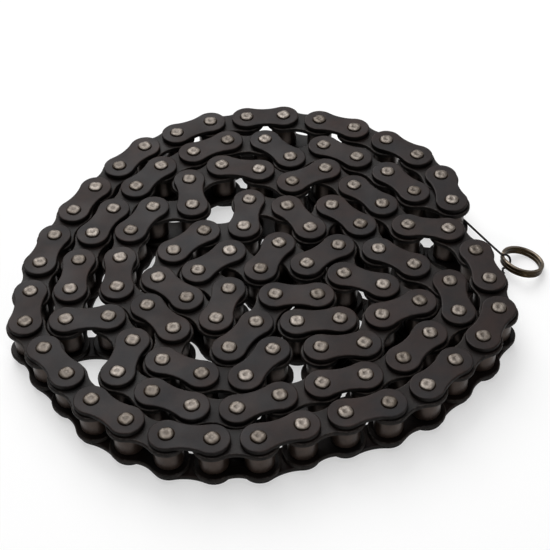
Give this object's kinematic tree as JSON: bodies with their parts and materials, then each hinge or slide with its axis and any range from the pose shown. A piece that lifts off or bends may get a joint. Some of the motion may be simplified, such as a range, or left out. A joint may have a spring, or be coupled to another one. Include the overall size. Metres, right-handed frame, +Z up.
{
  "type": "motorcycle drive chain",
  "caption": "Endless steel roller chain for a motorcycle drive, coiled flat on its side in tight folds, with a tie wire and a small ring on it.",
  "frame": {"origin": "bottom centre of the bounding box, on the surface the chain lies on", "axes": "+Z up, along the pins; +X towards the side with the ring; +Y towards the coil's back"},
  "size_m": [0.166, 0.1532, 0.0155],
  "materials": {
    "coil_steel": "dark oxidised steel, satin",
    "plate_steel": "dark oxidised steel, satin",
    "pin_steel": "bare riveted steel, bright",
    "bush_steel": "bare steel, oiled",
    "roller_steel": "brown case-hardened steel, satin",
    "wire_steel": "dark annealed wire",
    "ring_steel": "brownish steel, worn bright"
  },
  "bodies": {
    "coil": {"coil_run_01": "coil_steel", "coil_run_02": "coil_steel", "coil_run_03": "coil_steel", "coil_run_04": "coil_steel", "coil_run_05": "coil_steel", "coil_run_06": "coil_steel", "coil_run_07": "coil_steel", "coil_run_08": "coil_steel", "coil_run_09": "coil_steel", "coil_run_10": "coil_steel", "coil_run_11": "coil_steel", "coil_run_12": "coil_steel", "coil_run_13": "coil_steel", "coil_run_14": "coil_steel", "coil_run_15": "coil_steel", "coil_run_16": "coil_steel", "coil_run_17": "coil_steel", "tie_wire": "wire_steel"},
    "link_1": {"link_1_inner_bush_a": "bush_steel", "link_1_inner_bush_b": "bush_steel", "link_1_inner_plate_bottom": "plate_steel", "link_1_inner_plate_top": "plate_steel"},
    "link_2": {"link_2_outer_pin_a": "pin_steel", "link_2_outer_pin_b": "pin_steel", "link_2_outer_plate_bottom": "plate_steel", "link_2_outer_plate_top": "plate_steel"},
    "link_3": {"link_3_inner_bush_a": "bush_steel", "link_3_inner_bush_b": "bush_steel", "link_3_inner_plate_bottom": "plate_steel", "link_3_inner_plate_top": "plate_steel"},
    "link_4": {"link_4_outer_pin_a": "pin_steel", "link_4_outer_pin_b": "pin_steel", "link_4_outer_plate_bottom": "plate_steel", "link_4_outer_plate_top": "plate_steel"},
    "link_5": {"link_5_inner_bush_a": "bush_steel", "link_5_inner_bush_b": "bush_steel", "link_5_inner_plate_bottom": "plate_steel", "link_5_inner_plate_top": "plate_steel"},
    "link_6": {"link_6_outer_pin_a": "pin_steel", "link_6_outer_pin_b": "pin_steel", "link_6_outer_plate_bottom": "plate_steel", "link_6_outer_plate_top": "plate_steel"},
    "link_7": {"link_7_inner_bush_a": "bush_steel", "link_7_inner_bush_b": "bush_steel", "link_7_inner_plate_bottom": "plate_steel", "link_7_inner_plate_top": "plate_steel"},
    "link_8": {"link_8_outer_pin_a": "pin_steel", "link_8_outer_pin_b_bottom": "pin_steel", "link_8_outer_pin_b_top": "pin_steel", "link_8_outer_plate_bottom": "plate_steel", "link_8_outer_plate_top": "plate_steel"},
    "roller_1a": {"link_1_roller_a": "roller_steel"},
    "roller_1b": {"link_1_roller_b": "roller_steel"},
    "roller_3a": {"link_3_roller_a": "roller_steel"},
    "roller_3b": {"link_3_roller_b": "roller_steel"},
    "roller_5a": {"link_5_roller_a": "roller_steel"},
    "roller_5b": {"link_5_roller_b": "roller_steel"},
    "roller_7a": {"link_7_roller_a": "roller_steel"},
    "roller_7b": {"link_7_roller_b": "roller_steel"},
    "ring": {"ring": "ring_steel"}
  },
  "joints": [
    {"name": "hinge_1", "type": "hinge", "parent": "coil", "child": "link_1", "pos_m": [-0.00878, -0.07082, 0.00777], "axis": [0, 0, 1], "range_deg": [0, 45]},
    {"name": "hinge_2", "type": "hinge", "parent": "link_1", "child": "link_2", "pos_m": [-0.02148, -0.07075, 0.00777], "axis": [0, 0, 1], "range_deg": [0, 45]},
    {"name": "hinge_3", "type": "hinge", "parent": "link_2", "child": "link_3", "pos_m": [-0.03402, -0.06872, 0.00777], "axis": [0, 0, 1], "range_deg": [0, 45]},
    {"name": "hinge_4", "type": "hinge", "parent": "link_3", "child": "link_4", "pos_m": [-0.04535, -0.06298, 0.00777], "axis": [0, 0, 1], "range_deg": [0, 45]},
    {"name": "hinge_5", "type": "hinge", "parent": "link_4", "child": "link_5", "pos_m": [-0.05547, -0.05531, 0.00777], "axis": [0, 0, 1], "range_deg": [0, 45]},
    {"name": "hinge_6", "type": "hinge", "parent": "link_5", "child": "link_6", "pos_m": [-0.06324, -0.04527, 0.00777], "axis": [0, 0, 1], "range_deg": [0, 45]},
    {"name": "hinge_7", "type": "hinge", "parent": "link_6", "child": "link_7", "pos_m": [-0.07078, -0.03505, 0.00777], "axis": [0, 0, 1], "range_deg": [0, 45]},
    {"name": "hinge_8", "type": "hinge", "parent": "link_7", "child": "link_8", "pos_m": [-0.07741, -0.02422, 0.00777], "axis": [0, 0, 1], "range_deg": [0, 45]},
    {"name": "roller_spin_1a", "type": "hinge", "parent": "link_1", "child": "roller_1a", "pos_m": [-0.00878, -0.07082, 0.00777], "axis": [0, 0, 1], "continuous": true},
    {"name": "roller_spin_1b", "type": "hinge", "parent": "link_1", "child": "roller_1b", "pos_m": [-0.02148, -0.07075, 0.00777], "axis": [0, 0, 1], "continuous": true},
    {"name": "roller_spin_3a", "type": "hinge", "parent": "link_3", "child": "roller_3a", "pos_m": [-0.03402, -0.06872, 0.00777], "axis": [0, 0, 1], "continuous": true},
    {"name": "roller_spin_3b", "type": "hinge", "parent": "link_3", "child": "roller_3b", "pos_m": [-0.04535, -0.06298, 0.00777], "axis": [0, 0, 1], "continuous": true},
    {"name": "roller_spin_5a", "type": "hinge", "parent": "link_5", "child": "roller_5a", "pos_m": [-0.05547, -0.05531, 0.00777], "axis": [0, 0, 1], "continuous": true},
    {"name": "roller_spin_5b", "type": "hinge", "parent": "link_5", "child": "roller_5b", "pos_m": [-0.06324, -0.04527, 0.00777], "axis": [0, 0, 1], "continuous": true},
    {"name": "roller_spin_7a", "type": "hinge", "parent": "link_7", "child": "roller_7a", "pos_m": [-0.07078, -0.03505, 0.00777], "axis": [0, 0, 1], "continuous": true},
    {"name": "roller_spin_7b", "type": "hinge", "parent": "link_7", "child": "roller_7b", "pos_m": [-0.07741, -0.02422, 0.00777], "axis": [0, 0, 1], "continuous": true},
    {"name": "ring_swing", "type": "hinge", "parent": "coil", "child": "ring", "pos_m": [0.06989, 0.00499, 0.00471], "axis": [0.2348, -0.9687, 0.0806], "range_deg": [0, 90]}
  ]
}
